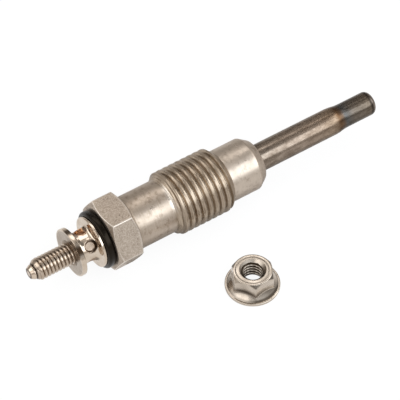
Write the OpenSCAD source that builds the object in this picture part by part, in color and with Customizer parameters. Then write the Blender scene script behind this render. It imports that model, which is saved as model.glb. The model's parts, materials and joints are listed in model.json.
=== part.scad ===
// Diesel glow plug, lying on a flat of its hexagon, with its terminal nut set down beside it.
// The plug's axis runs along X: the terminal stud points to -X and the heated tip to +X.
// The origin is on that axis, halfway along the main thread. All sizes are in millimetres.

/* [Main thread] */
// Outside diameter of the thread that screws into the cylinder head
thread_d = 12; // [11.4:0.1:13]
// Length of the threaded stretch, run-outs included
thread_len = 12; // [9:0.1:16]
// Length of the tapered run-out at each end of the thread
thread_lead = 1; // [0.8:0.1:2]

/* [Shell] */
// Width across the flats of the hexagon
hex_af = 12; // [11.5:0.1:14]
// Length of the hexagon along the axis
hex_len = 5; // [3:0.1:7]
// Diameter of the flat face that the turned chamfer leaves at each end of the hexagon
hex_face_d = 11.7; // [11.2:0.05:12]
// Slope of that chamfer from the end face
hex_slope = 30; // [15:1:45]
// Diameter of the plain shank between hexagon and thread
shank_d = 10; // [9.4:0.1:10.8]
// Length of the plain shank
shank_len = 7.8; // [4:0.1:14]
// Radius of the fillet where the shank meets the hexagon
shank_fillet = 0.45; // [0.2:0.05:0.7]
// Diameter of the nose beyond the thread
nose_d = 9.9; // [9:0.1:10.6]
// Length of the nose's cylindrical stretch
nose_len = 5.7; // [3:0.1:10]
// Length of the conical sealing seat at the end of the nose
seat_len = 1.6; // [0.8:0.1:2.4]
// Diameter at the small end of the sealing seat
seat_end_d = 7.7; // [6.8:0.1:8.6]
// Air gap between the shell's bore and the mouth of the glow tube
bore_gap = 0.3; // [0.15:0.05:0.6]

/* [Glow tube] */
// Outside diameter of the tube
tube_d = 5.05; // [4.7:0.05:5.4]
// Wall thickness of the tube
tube_wall = 0.55; // [0.4:0.05:0.7]
// Length of tube that is pressed into the nose
tube_grip = 13.5; // [10:0.5:16]
// Length of tube from the sealing seat to the swaged step
tube_out = 17; // [14:0.1:24]
// Length of the swaged step down to the tip
swage_len = 1.7; // [0.5:0.1:2]
// Outside diameter of the thinner tip
tip_d = 4.5; // [4:0.05:4.9]
// Length of the tip beyond the swaged step
tip_len = 6.9; // [6.8:0.1:10]
// Radius of the rounded edge at the closed end
tip_round = 1.1; // [0.6:0.05:1.5]
// Thickness of the closed end
tip_end = 0.8; // [0.5:0.05:1.2]

/* [Coils] */
// Mean diameter of both coils
coil_d = 2; // [1.7:0.05:2.2]
// Wire diameter of the heating coil
heat_wire = 0.34; // [0.28:0.02:0.4]
// Pitch of the heating coil
heat_pitch = 0.6; // [0.5:0.02:0.7]
// Number of turns in the heating coil
heat_turns = 10; // [8:1:12]
// Wire diameter of the control coil
control_wire = 0.4; // [0.3:0.02:0.46]
// Pitch of the control coil
control_pitch = 0.8; // [0.7:0.02:1]
// Number of turns in the control coil
control_turns = 14; // [10:1:16]
// Number of control turns that are wound on the pole's end pin
pin_turns = 2; // [1:1:3]

/* [Terminal stud and pole] */
// Outside diameter of the terminal thread
stud_d = 4; // [3.8:0.1:4.6]
// Diameter of the pole behind the terminal thread, which is also the thread's pitch diameter
pole_d = 3.5; // [3.2:0.05:3.7]
// Length of stud that stands out of the round nut
stud_len = 8.2; // [6:0.05:12]
// Length of the stud's tapered lead
stud_lead = 1.8; // [1:0.1:2.4]
// Diameter of the stud's end face
stud_end_d = 2; // [1.4:0.1:2.8]
// Diameter of the pole's thinner end inside the glow tube
pole_end_d = 2.4; // [2:0.05:2.8]

/* [Round nut] */
// Diameter of the contact flange
flange_d = 9; // [7.6:0.1:10]
// Thickness of the contact flange
flange_t = 0.9; // [0.6:0.05:1.4]
// Diameter of the crimped neck
neck_d = 5.9; // [5.6:0.05:6.6]
// Length of the crimped neck
neck_len = 3.35; // [3:0.05:5]
// Diameter of the base flange
base_d = 9.5; // [8.4:0.1:10.4]
// Thickness of the base flange
base_t = 0.55; // [0.35:0.05:0.8]
// Fillet between the neck and the base flange
base_fillet = 0.8; // [0.3:0.05:0.9]
// Fillet between the neck and the contact flange
flange_fillet = 0.6; // [0.2:0.05:0.7]
// Diameter of the countersink at the outer mouth of the hole
mouth_d = 5; // [4.4:0.1:6]
// Number of crimps round the neck
crimp_count = 5; // [3:1:6]
// Place of the crimps along the neck, from 0 at the contact flange to 1 at the base flange
crimp_place = 0.62; // [0.45:0.01:0.65]
// Turn of the first crimp from the top of the plug
crimp_turn = 47; // [0:1:90]
// Diameter of a crimp's flat bottom
crimp_bottom_d = 1.7; // [1:0.05:1.8]
// Diameter of a crimp at the neck's surface
crimp_mouth_d = 2.2; // [1.9:0.05:2.5]
// Depth of a crimp
crimp_depth = 0.5; // [0.2:0.05:0.6]

/* [Seals] */
// Outside diameter of the insulating seal ring
ring_d = 10.8; // [9.6:0.1:11.4]
// Thickness of the seal ring between round nut and hexagon
ring_t = 1.5; // [1.2:0.05:2.6]
// Radius of the seal ring's rounded edges
ring_round = 0.45; // [0.2:0.05:0.55]
// Length of the seal ring's spigot in the shell
ring_spigot = 0.8; // [0.4:0.05:1.4]
// Diameter of each bead of the pole seal
bead_d = 1.65; // [1.2:0.05:1.9]
// Length of the heater seal inside the tube's mouth
stopper_len = 2.5; // [1.5:0.1:4]
// Thickness of the heater seal's head on the tube's mouth
stopper_head = 0.8; // [0.4:0.05:1.4]

/* [Terminal nut] */
// Width across the flats of the nut
nut_af = 6.9; // [6.7:0.1:8]
// Height of the nut
nut_h = 4.2; // [3.6:0.1:5.5]
// Diameter of the nut's flange
nut_flange_d = 9.7; // [9:0.1:11]
// Thickness of the flange at its rim
nut_rim = 0.6; // [0.4:0.05:0.9]
// Width of the flat ledge between the rim and the flange's cone
nut_ledge = 0.35; // [0.2:0.05:0.6]
// Height at which the flange's cone meets the hexagon
nut_skirt = 1.65; // [1.2:0.05:1.9]
// Minor diameter of the nut's thread
nut_bore_d = 3.3; // [3.1:0.05:3.6]
// Diameter of the countersink at each end of the thread
nut_sink_d = 4.7; // [4.2:0.05:5]
// Diameter of the crown that the chamfer leaves on top
nut_crown_d = 6.8; // [6:0.05:6.85]
// Slope of the chamfer round the crown
nut_crown_slope = 55; // [20:1:65]
// Distance of the nut along the plug from the middle of the thread
nut_along = 0; // [-20:0.5:20]
// Distance of the nut's centre to the side of the plug's axis
nut_aside = 19.2; // [16:0.1:30]
// Turn of the nut on the floor
nut_turn = 4; // [0:1:59]

/* [Fits] */
// Radial clearance between pieces that fit in or over each other
fit = 0.02; // [0.01:0.005:0.03]

/* [Hidden] */

$fn = 96;
coil_steps = 16;    // rings of wire points in one turn
wire_sides = 6;     // corners of a wire's section
past = 1;           // how far a cutting shape reaches past a face
rim_round = 0.15;   // rounded edges of the thin flanges
bridge_w = 0.4;     // width of a powder bridge across the plug
bridge_root = 0.1;  // how far a powder bridge reaches into the powder on each side

// Stations along the axis, from the middle of the thread
thread_x0 = -thread_len / 2;
thread_x1 = thread_len / 2;
hex_x1 = thread_x0 - shank_len;
hex_x0 = hex_x1 - hex_len;
ring_x0 = hex_x0 - ring_t;
base_x0 = ring_x0 - base_t;
flange_x1 = base_x0 - neck_len;
flange_x0 = flange_x1 - flange_t;
stud_x0 = flange_x0 - stud_len;
nose_x1 = thread_x1 + nose_len;
seat_x1 = nose_x1 + seat_len;
tube_x0 = seat_x1 - tube_grip;
step_x0 = seat_x1 + tube_out;
step_x1 = step_x0 + swage_len;
tip_x1 = step_x1 + tip_len;
tip_in_x = tip_x1 - tip_end;

// Seal chamber and bore of the shell
bead_x0 = hex_x0 + ring_spigot + fit;
bead_x1 = bead_x0 + 2 * bead_d;
chamber_x1 = bead_x1 + fit;
chamber_r = pole_d / 2 + bead_d + 2 * fit;
bore_r = tube_d / 2 + bore_gap;
bore_x1 = tube_x0 + stopper_head;

// Inside of the glow tube
tube_in_r = tube_d / 2 - tube_wall;
tip_in_r = tip_d / 2 - tube_wall;
tip_in_round = max(tip_round - tube_wall, rim_round);
stopper_x0 = tube_x0 - stopper_head;
stopper_x1 = tube_x0 + stopper_len;

// Coils, counted back from the closed end, and the pole that carries them
heat_x1 = tip_in_x - heat_wire / 2 - fit;
joint_x = heat_x1 - heat_turns * heat_pitch;
control_x0 = joint_x - control_turns * control_pitch;
pin_x0 = control_x0 - control_wire / 2 - fit;
pin_x1 = control_x0 + pin_turns * control_pitch;
pin_r = (coil_d - control_wire) / 2 * cos(180 / coil_steps) - fit;
pocket_r = (coil_d + control_wire) / 2 + 2 * fit;

// The plug lies on the hexagon or the thread, whichever reaches lower
floor_z = -max(hex_af, thread_d) / 2;

// Turns a profile about the plug's axis. The profile has its radius in x and its station in y.
module turned() {
    rotate([0, 90, 0]) rotate_extrude() children();
}

// Profile of a plain ring
module band(x0, x1, r0, r1) {
    translate([r0, x0]) square([r1 - r0, x1 - x0]);
}

// Profile of a solid cone frustum
module taper(x0, x1, r0, r1) {
    polygon([[0, x0], [r0, x0], [r1, x1], [0, x1]]);
}

// Profile of a ring with rounded outer edges
module soft_band(x0, x1, r0, r1, edge) {
    band(x0, x1, r0, r1 - edge);
    band(x0 + edge, x1 - edge, r0, r1);
    for (x = [x0 + edge, x1 - edge]) translate([r1 - edge, x]) circle(edge);
}

// Profile of the hollow fillet in the corner at radius r and station x, on the side of that station
module corner_fillet(r, x, size, side) {
    difference() {
        translate([r, side > 0 ? x : x - size]) square(size);
        translate([r + size, x + side * size]) circle(size);
    }
}

// Profile of a rod with a rounded end at x1
module round_ended(x0, x1, r, edge) {
    band(x0, x1 - edge, 0, r);
    band(x0, x1, 0, r - edge);
    translate([r - edge, x1 - edge]) circle(edge);
}

// Points of a coiled wire's section at one angle round the axis
function wire_ring(x, angle, wire_r) = [
    for (k = [0 : wire_sides - 1])
        let (b = 360 * k / wire_sides, r = coil_d / 2 + wire_r * cos(b))
            [x + wire_r * sin(b), r * cos(angle), r * sin(angle)]
];

// A coiled wire that starts at x0 and at start_angle, and runs to +X
module coiled_wire(x0, start_angle, turns, pitch, wire_r) {
    rings = round(turns * coil_steps);
    last = rings * wire_sides;
    points = [
        for (i = [0 : rings])
            each wire_ring(x0 + pitch * i / coil_steps, start_angle + 360 * i / coil_steps, wire_r)
    ];
    walls = [
        for (i = [0 : rings - 1], k = [0 : wire_sides - 1])
            let (p = i * wire_sides, q = p + wire_sides, n = (k + 1) % wire_sides)
                each [[p + k, q + n, p + n], [p + k, q + k, q + n]]
    ];
    caps = [
        [for (k = [0 : wire_sides - 1]) k],
        [for (k = [0 : wire_sides - 1]) last + wire_sides - 1 - k]
    ];
    polyhedron(points, concat(walls, caps), convexity = 10);
}

// Hexagon prism along X with flats at the top and the bottom, its corners chamfered at both ends
module hexagon() {
    corner_r = hex_af / 2 / cos(30);
    face_r = hex_face_d / 2;
    bevel = (corner_r - face_r) * tan(hex_slope);
    intersection() {
        translate([hex_x0, 0, 0]) rotate([0, 90, 0]) rotate([0, 0, 30])
            cylinder(h = hex_len, r = corner_r, $fn = 6);
        turned() polygon([
            [0, hex_x0], [face_r, hex_x0], [corner_r, hex_x0 + bevel],
            [corner_r, hex_x1 - bevel], [face_r, hex_x1], [0, hex_x1]
        ]);
    }
}

// Turned body with hexagon, shank, thread, nose and sealing seat, bored right through
module plug_shell() color("#b3a696") {
    hex_mid = (hex_x0 + hex_x1) / 2;
    difference() {
        union() {
            hexagon();
            turned() {
                polygon([
                    [0, hex_mid], [shank_d / 2, hex_mid], [shank_d / 2, thread_x0],
                    [thread_d / 2, thread_x0 + thread_lead], [thread_d / 2, thread_x1 - thread_lead],
                    [nose_d / 2, thread_x1], [nose_d / 2, nose_x1], [seat_end_d / 2, seat_x1], [0, seat_x1]
                ]);
                corner_fillet(shank_d / 2, hex_x1, shank_fillet, 1);
            }
        }
        turned() {
            band(hex_x0 - past, chamber_x1, 0, chamber_r);
            band(hex_x0 - past, bore_x1, 0, bore_r);
            band(hex_x0 - past, seat_x1 + past, 0, tube_d / 2 + fit);
        }
    }
}

// Closed sheath, swaged down to a thinner tip
module glow_tube() color("#4f463f") {
    turned() difference() {
        union() {
            band(tube_x0, step_x0, 0, tube_d / 2);
            taper(step_x0, step_x1, tube_d / 2, tip_d / 2);
            round_ended(step_x1, tip_x1, tip_d / 2, tip_round);
        }
        band(tube_x0 - past, step_x0, 0, tube_in_r);
        taper(step_x0, step_x1, tube_in_r, tip_in_r);
        round_ended(step_x1, tip_in_x, tip_in_r, tip_in_round);
    }
}

// Terminal stud and pole in one piece, with the thin end and the pin that carry the control coil.
// The thread is at its outside diameter where it is free, and at its pitch diameter inside the round nut.
module centre_pole() color("#a89c90") {
    turned() polygon([
        [0, stud_x0], [stud_end_d / 2, stud_x0], [stud_d / 2, stud_x0 + stud_lead], [stud_d / 2, flange_x0],
        [pole_d / 2, flange_x0], [pole_d / 2, stopper_x0], [pole_end_d / 2, stopper_x0],
        [pole_end_d / 2, pin_x0], [pin_r, pin_x0], [pin_r, pin_x1], [0, pin_x1]
    ]);
}

// Spool-shaped nut, locked on the stud by a ring of flat-bottomed crimps in its neck
module round_nut() color("#b9aa9c") {
    hole_r = pole_d / 2 + fit;
    crimp_x = flange_x1 + neck_len * crimp_place;
    mouth = mouth_d / 2 - hole_r;
    crimp_r = crimp_mouth_d / 2;
    difference() {
        turned() {
            soft_band(flange_x0, flange_x1, hole_r, flange_d / 2, rim_round);
            band(flange_x0, ring_x0, hole_r, neck_d / 2);
            soft_band(base_x0, ring_x0, hole_r, base_d / 2, rim_round);
            corner_fillet(neck_d / 2, flange_x1, flange_fillet, 1);
            corner_fillet(neck_d / 2, base_x0, base_fillet, -1);
        }
        turned() taper(flange_x0 - past, flange_x0 + mouth, mouth_d / 2 + past, hole_r);
        for (i = [0 : crimp_count - 1])
            rotate([crimp_turn - 360 / crimp_count * i, 0, 0])
                translate([crimp_x, 0, neck_d / 2 - crimp_depth]) rotate_extrude() {
                    taper(0, crimp_depth, crimp_bottom_d / 2, crimp_r);
                    band(crimp_depth, crimp_depth + past, 0, crimp_r);
                }
    }
}

// Black ring that insulates the round nut, centred in the shell by its spigot
module seal_ring() color("#1c1c1c") {
    hole_r = stud_d / 2 + fit;
    turned() {
        soft_band(ring_x0, hex_x0, hole_r, ring_d / 2, ring_round);
        band(ring_x0, hex_x0 + ring_spigot, hole_r, chamber_r - fit);
    }
}

// Rubber seal of two joined beads between the pole and the shell
module pole_seal() color("#33302e") {
    turned() {
        for (x = [bead_x0 + bead_d / 2, bead_x1 - bead_d / 2])
            translate([(chamber_r + pole_d / 2) / 2, x]) circle(d = bead_d);
        band(bead_x0 + bead_d / 2, bead_x1 - bead_d / 2, pole_d / 2 + bead_d / 4, chamber_r - bead_d / 4);
    }
}

// Stopper in the mouth of the glow tube, with a head that the pole's shoulder sits on
module heater_seal() color("#6b4a3a") {
    hole_r = pole_end_d / 2 + fit;
    turned() {
        band(stopper_x0, tube_x0, hole_r, tube_d / 2);
        band(stopper_x0, stopper_x1, hole_r, tube_in_r - fit);
    }
}

// Rear coil, its first turns wound on the pole's pin
module control_coil() color("#8d8a80") {
    coiled_wire(control_x0, -360 * control_turns, control_turns, control_pitch, control_wire / 2);
}

// Front coil, joined end to end with the control coil and reaching the closed tip
module heating_coil() color("#9a8f83") {
    coiled_wire(joint_x, 0, heat_turns, heat_pitch, heat_wire / 2);
}

// Profile of the ring-shaped space that one coil takes up
module coil_space(x0, x1, wire) {
    band(x0, x1, (coil_d - wire) / 2 * cos(180 / coil_steps) - fit, (coil_d + wire) / 2 + fit);
}

// Powder between the turns of a coil, one bridge in each gap, halfway between two passes of the wire
module powder_bridges(x0, turns, pitch, wire) {
    for (i = [0 : turns - 1])
        translate([x0 + (i + 0.5) * pitch, coil_d / 2, 0])
            cube([(pitch - wire) / 2, wire + 2 * bridge_root, bridge_w], center = true);
}

// Packed powder round the coils, with a pocket for the pole's end
module magnesia_fill() color("#e8e4da") {
    fill_x1 = tip_in_x - fit;
    free_turns = control_turns - pin_turns;
    turned() difference() {
        union() {
            band(stopper_x1, step_x0, 0, tube_in_r - fit);
            taper(step_x0, step_x1, tube_in_r - fit, tip_in_r - fit);
            round_ended(step_x1, fill_x1, tip_in_r - fit, tip_in_round);
        }
        band(stopper_x1 - past, pin_x0 + fit, 0, pole_end_d / 2 + fit);
        band(pin_x0, pin_x1 + fit, 0, pocket_r);
        coil_space(pin_x1, joint_x + control_wire / 2 + fit, control_wire);
        coil_space(joint_x, fill_x1 + past, heat_wire);
    }
    powder_bridges(joint_x - free_turns * control_pitch, free_turns, control_pitch, control_wire);
    powder_bridges(joint_x, heat_turns, heat_pitch, heat_wire);
}

// Flanged hexagon nut, standing on its flange
module terminal_nut() color("#b5aca0") {
    crown_run = nut_h / tan(nut_crown_slope);
    sink = (nut_sink_d - nut_bore_d) / 2;
    translate([nut_along, -nut_aside, floor_z]) rotate([0, 0, nut_turn]) difference() {
        union() {
            intersection() {
                cylinder(h = nut_h, r = nut_af / 2 / cos(30), $fn = 6);
                cylinder(h = nut_h, r1 = nut_crown_d / 2 + crown_run, r2 = nut_crown_d / 2);
            }
            rotate_extrude() {
                soft_band(0, nut_rim, 0, nut_flange_d / 2, rim_round);
                taper(nut_rim, nut_skirt, nut_flange_d / 2 - nut_ledge, nut_af / 2);
            }
        }
        translate([0, 0, -past]) cylinder(h = nut_h + 2 * past, d = nut_bore_d);
        for (end = [0, 1])
            translate([0, 0, end * nut_h]) mirror([0, 0, end]) translate([0, 0, -past])
                cylinder(h = past + sink, r1 = nut_sink_d / 2 + past, r2 = nut_bore_d / 2);
    }
}

plug_shell();
glow_tube();
centre_pole();
round_nut();
seal_ring();
pole_seal();
heater_seal();
control_coil();
heating_coil();
magnesia_fill();
terminal_nut();
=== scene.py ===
import json
import math

import bpy
import numpy as np
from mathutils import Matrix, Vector


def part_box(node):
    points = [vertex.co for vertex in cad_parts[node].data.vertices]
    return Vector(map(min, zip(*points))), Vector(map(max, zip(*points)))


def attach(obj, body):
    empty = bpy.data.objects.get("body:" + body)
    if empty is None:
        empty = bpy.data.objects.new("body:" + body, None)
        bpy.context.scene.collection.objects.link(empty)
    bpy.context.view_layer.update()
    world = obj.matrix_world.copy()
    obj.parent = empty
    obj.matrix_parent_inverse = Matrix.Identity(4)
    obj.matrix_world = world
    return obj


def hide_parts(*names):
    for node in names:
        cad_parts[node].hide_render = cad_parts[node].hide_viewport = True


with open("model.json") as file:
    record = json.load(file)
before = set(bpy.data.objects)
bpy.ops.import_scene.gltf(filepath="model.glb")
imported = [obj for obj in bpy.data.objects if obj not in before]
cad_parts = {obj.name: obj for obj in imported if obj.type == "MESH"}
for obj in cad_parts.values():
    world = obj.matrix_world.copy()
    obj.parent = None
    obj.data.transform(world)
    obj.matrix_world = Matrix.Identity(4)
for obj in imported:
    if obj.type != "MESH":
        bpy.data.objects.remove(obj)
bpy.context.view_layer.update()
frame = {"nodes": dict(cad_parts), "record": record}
scene = bpy.context.scene
mm = 0.001
print("frame loaded:", len(frame["nodes"]), "solids")


# lowest and highest corner of a solid, in millimetres
def nodeBox(node):
    low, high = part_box(node)
    return np.array(low) / mm, np.array(high) / mm


# places that every piece shares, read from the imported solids
mounts = {m["name"]: m for m in frame["record"]["mounts"]}
shellLow, shellHigh = nodeBox("plug_shell")
hexStart, seatEnd, floorZ = shellLow[0], shellHigh[0], shellLow[2]
ringStart = nodeBox("seal_ring")[0][0]
flangeStart = nodeBox("round_nut")[0][0]
tubeStart, tubeTip = nodeBox("glow_tube")[0][0], nodeBox("glow_tube")[1][0]
studTip, pinEnd = nodeBox("centre_pole")[0][0], nodeBox("centre_pole")[1][0]
stopperStart = nodeBox("heater_seal")[0][0]
beadHigh = nodeBox("pole_seal")[1]
coilStart = nodeBox("control_coil")[0][0]
fitGap = 0.02        # between a bore and what sits in it
fanR = 0.1           # innermost ring of a closed end, which a fan fills
sharpAngle = 38      # edges that bend more than this stay sharp


# grids

# rows on a straight line from (x0, r0) to (x1, r1), the last point left to the next strip
def strip(cols, x0, r0, x1, r1, rows):
    t = (np.arange(rows) / rows)[:, None]
    x = x0 + (x1 - x0) * t + np.zeros(cols)
    r = r0 + (r1 - r0) * t + np.zeros(cols)
    return np.stack([x, r])


# rows on an arc: station xc - size * cos(a) and radius rc + size * sin(a), for a from a0 to a1 in degrees
def arcStrip(cols, xc, rc, size, a0, a1, rows):
    a = np.radians(a0 + (a1 - a0) * np.arange(rows) / rows)[:, None]
    x = xc - size * np.cos(a) + np.zeros(cols)
    r = rc + size * np.sin(a) + np.zeros(cols)
    return np.stack([x, r])


def rowsOf(*strips):
    return sum(one.shape[1] for one in strips)


# a section turned about the X axis: (x, r cos angle, r sin angle)
def turnAboutX(grid, angles):
    return np.stack([grid[0], grid[1] * np.cos(angles), grid[1] * np.sin(angles)], axis=-1)


def evenAngles(steps):
    return np.arange(steps) * 2 * np.pi / steps


# angles round a hexagon: even steps, and closer ones at each corner
def hexAngles(steps):
    close = np.radians([-1.7, -1.25, -0.95, -0.65, -0.3, 0.3, 0.65, 0.95, 1.25, 1.7])
    corners = np.arange(6) * np.pi / 3
    both = np.concatenate([evenAngles(steps), (corners[:, None] + close).ravel()])
    return np.unique(np.round(np.mod(both, 2 * np.pi), 7))


# polar radius of a hexagon with rounded corners, the first corner at angle 0:
# a / cos(phi) on the flats, a circle of the corner's size between; psi is the angle from the nearest corner
def hexRadius(angles, across, corner):
    apothem = across / 2
    phi = np.mod(angles, np.pi / 3) - np.pi / 6
    psi = np.pi / 6 - np.abs(phi)
    centre = (apothem - corner) / math.cos(np.pi / 6)
    flat = apothem / np.cos(phi)
    rounded = centre * np.cos(psi) + np.sqrt(np.maximum(corner**2 - (centre * np.sin(psi)) ** 2, 0))
    onFlat = apothem * np.tan(np.abs(phi)) <= (apothem - corner) * math.tan(np.pi / 6)
    return np.where(onFlat, flat, rounded), psi


# how far each angle lies from a place on the circle, both ways, in degrees
def turnFrom(angles, at):
    return np.degrees(np.abs(np.mod(angles - np.radians(at) + np.pi, 2 * np.pi) - np.pi))


# a mark on one stretch of the circle: much * exp(-(turn / wide)^4), flat in the middle with soft ends
def patch(angles, at, wide, much):
    return much * np.exp(-((turnFrom(angles, at) / wide) ** 4))


# a bell of height 1: exp(-(value / wide)^2)
def bell(value, wide):
    return np.exp(-((value / wide) ** 2))


# depth of a right-handed thread at a station and angle: flat crest, 30 degree flank and flat root,
# mixed with a cosine wave of the same pitch by the share that is worn soft
def threadCut(x, angles, pitch, depth, crest, soft):
    turn = np.mod(x / pitch - angles / (2 * np.pi), 1.0)
    fromMiddle = np.abs(turn - 0.5) * pitch
    flank = np.clip((fromMiddle - crest / 2) / (depth * math.tan(math.radians(30))), 0, 1)
    wave = (1 - np.cos(2 * np.pi * fromMiddle / pitch)) / 2
    return depth * ((1 - soft) * flank + soft * wave)


# a grid of rows and closed columns becomes quads; loop joins the last row to the first,
# and without it each end is closed by a fan round its middle
def makePiece(name, points, loop, material, node, marks):
    rows, cols, _ = points.shape
    here = np.arange(rows * cols).reshape(rows, cols)
    beside = np.roll(here, -1, axis=1)
    quads = np.stack([here, beside, np.roll(beside, -1, axis=0), np.roll(here, -1, axis=0)], axis=-1)
    verts = points.reshape(-1, 3)
    marks = {key: value.ravel() for key, value in marks.items()}
    if loop:
        faces = quads.reshape(-1, 4).tolist()
    else:
        first, last = np.full(cols, rows * cols), np.full(cols, rows * cols + 1)
        faces = quads[:-1].reshape(-1, 4).tolist()
        faces += np.stack([first, beside[0], here[0]], axis=-1).tolist()
        faces += np.stack([last, here[-1], beside[-1]], axis=-1).tolist()
        verts = np.concatenate([verts, points[:1].mean(axis=1), points[-1:].mean(axis=1)])
        marks = {key: np.concatenate([value, [0, 0]]) for key, value in marks.items()}
    mesh = bpy.data.meshes.new(name)
    mesh.from_pydata((verts * mm).tolist(), [], faces)
    for key, value in marks.items():
        mesh.attributes.new(key, "FLOAT", "POINT").data.foreach_set("value", value.astype(np.float32))
    mesh.polygons.foreach_set("use_smooth", np.ones(len(mesh.polygons), bool))
    mesh.set_sharp_from_angle(angle=math.radians(sharpAngle))
    mesh.materials.append(material)
    mesh.update()
    piece = bpy.data.objects.new(name, mesh)
    scene.collection.objects.link(piece)
    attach(piece, "root")
    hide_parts(node)
    print(name, "made:", len(faces), "faces")


# material helpers

def startMaterial(name, **sockets):
    mat = bpy.data.materials.new(name)
    mat.use_nodes = True
    shader = mat.node_tree.nodes["Principled BSDF"]
    for key, value in sockets.items():
        shader.inputs[key].default_value = value
    return mat, shader


# a new node; settings are its own options, and each input is a value or another node's output
def addNode(mat, kind, inputs, **settings):
    node = mat.node_tree.nodes.new(kind)
    for key, value in settings.items():
        setattr(node, key, value)
    for key, value in inputs.items():
        if isinstance(value, bpy.types.NodeSocket):
            mat.node_tree.links.new(value, node.inputs[key])
        else:
            node.inputs[key].default_value = value
    return node


def objectCoords(mat):
    return addNode(mat, "ShaderNodeTexCoord", {}).outputs["Object"]


# noise on Object coordinates, stretched by a scale for each axis; scales count per metre
def noiseAt(mat, stretch, detail, rough):
    placed = addNode(mat, "ShaderNodeMapping", {"Vector": objectCoords(mat), "Scale": stretch})
    inputs = {"Vector": placed.outputs[0], "Scale": 1.0, "Detail": detail, "Roughness": rough}
    return addNode(mat, "ShaderNodeTexNoise", inputs).outputs["Fac"]


def mathOf(mat, operation, a, b):
    return addNode(mat, "ShaderNodeMath", {0: a, 1: b}, operation=operation).outputs[0]


def spread(mat, value, low, high, toLow, toHigh):
    inputs = {"Value": value, "From Min": low, "From Max": high, "To Min": toLow, "To Max": toHigh}
    return addNode(mat, "ShaderNodeMapRange", inputs).outputs[0]


def mixColour(mat, fac, a, b, blend="MIX"):
    inputs = {"Fac": fac, "Color1": a, "Color2": b}
    return addNode(mat, "ShaderNodeMixRGB", inputs, blend_type=blend).outputs[0]


def markOf(mat, name):
    return addNode(mat, "ShaderNodeAttribute", {}, attribute_name=name).outputs["Fac"]


# goes from plain to full as a mark goes from 0 to 1
def byMark(mat, mark, plain, full):
    return spread(mat, mark, 0, 1, plain, full)


def bumpOf(mat, height, strength, depth, under=None):
    inputs = {"Height": height, "Strength": strength, "Distance": depth * mm}
    if under is not None:
        inputs["Normal"] = under
    return addNode(mat, "ShaderNodeBump", inputs).outputs[0]


def join(mat, output, socket):
    mat.node_tree.links.new(output, socket)


# shell: hexagon, shank, thread, nose and seat in one turned piece

plugBody = {
    "hexAcross": 12.0, "hexLength": 5.0, "hexCorner": 0.25, "hexFaceDia": 11.7, "hexSlope": 30,
    "faceEdge": 0.1, "hexEdge": 0.12, "shankDia": 10.0, "shankFillet": 0.45,
    "threadPitch": 1.25, "threadDepth": 0.49, "threadCrest": 0.58, "threadSoft": 0.15,
    "threadLead": 1.0, "threadShift": 0.4, "coneCut": 0.5, "coneCutRise": 2.5,
    "crestLines": 4, "crestLineDepth": 0.014, "crestFade": 2.6,
    "leadRing": 0.31, "leadRingDepth": 0.045, "ringFade": 0.3, "ringReach": 4.5,
    "noseDia": 9.9, "noseRound": 0.45, "seatLength": 1.6, "seatEndDia": 7.7, "seatEdge": 0.12,
    "tubeDia": 5.05, "boreGap": 0.3, "steps": 150, "rowsPerTurn": 30,
    # marks: painted highlights on the worn edges, painted shade in the roots, corners and fillet; patches are
    # place, half width and strength
    "edgeHighlight": 0.8, "ridgeHighlight": 0.75, "ridgeWide": 0.12, "backHighlight": 0.3, "noseBright": 0.16,
    "edgeUnlit": (148, 26, 0.75), "leadHighlight": (115, 30, 0.7), "leadRows": 8,
    "coneShade": (130, 10, 0.85), "filletShade": 0.7, "shankShade": 0.35, "shankShadeLength": 1.1,
    "rootShade": 0.42, "rootPower": 1.5, "ringShade": 0.6, "crestLineShade": 0.3,
}

nickelBody = {
    # root is the colour of the painted shade, edge that of the painted highlights
    "clean": (0.49, 0.41, 0.335, 1), "dull": (0.36, 0.295, 0.235, 1), "root": (0.25, 0.195, 0.145, 1),
    "threadTone": (0.4, 0.32, 0.235, 1), "edge": (0.78, 0.71, 0.63, 1),
    "sand": (0.49, 0.415, 0.345, 1), "grit": (0.31, 0.252, 0.2, 1), "pit": (0.19, 0.14, 0.11, 1),
    # noises: scale along each axis, detail and roughness
    "cloud": ((260, 420, 420), 3.0, 0.6), "smudge": ((900, 700, 700), 5.0, 0.72),
    "turning": ((6500, 60, 60), 2.0, 0.6),
    "sandGrain": ((5200, 5200, 5200), 3.0, 0.65), "pitGrain": ((2300, 2300, 2300), 2.0, 0.7),
    # range of a noise, and what it is spread to
    "cloudDull": (0.35, 0.75, 0.0, 0.6), "smudgeDull": (0.52, 0.72, 0.0, 0.75),
    "turningDull": (0.4, 0.62, 0.0, 1.0), "sandMix": (0.4, 0.62, 0.0, 1.0), "pitMix": (0.6, 0.7, 0.0, 0.85),
    "cloudRough": (0.3, 0.7, -0.05, 0.07), "smudgeRough": (0.35, 0.65, -0.05, 0.06),
    # value off a mark and on it
    "turningShare": (0.12, 0.4), "threadToneShare": (0.0, 0.6), "bodyRough": (0.34, 0.44),
    "rootRough": (0.0, 0.15), "threadRough": (0.0, -0.08), "sandBump": (0.04, 0.6), "turningBump": (0.1, 0.7),
    "edgeRough": 0.25, "sandDepth": 0.028, "turningDepth": 0.02,
}


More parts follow.
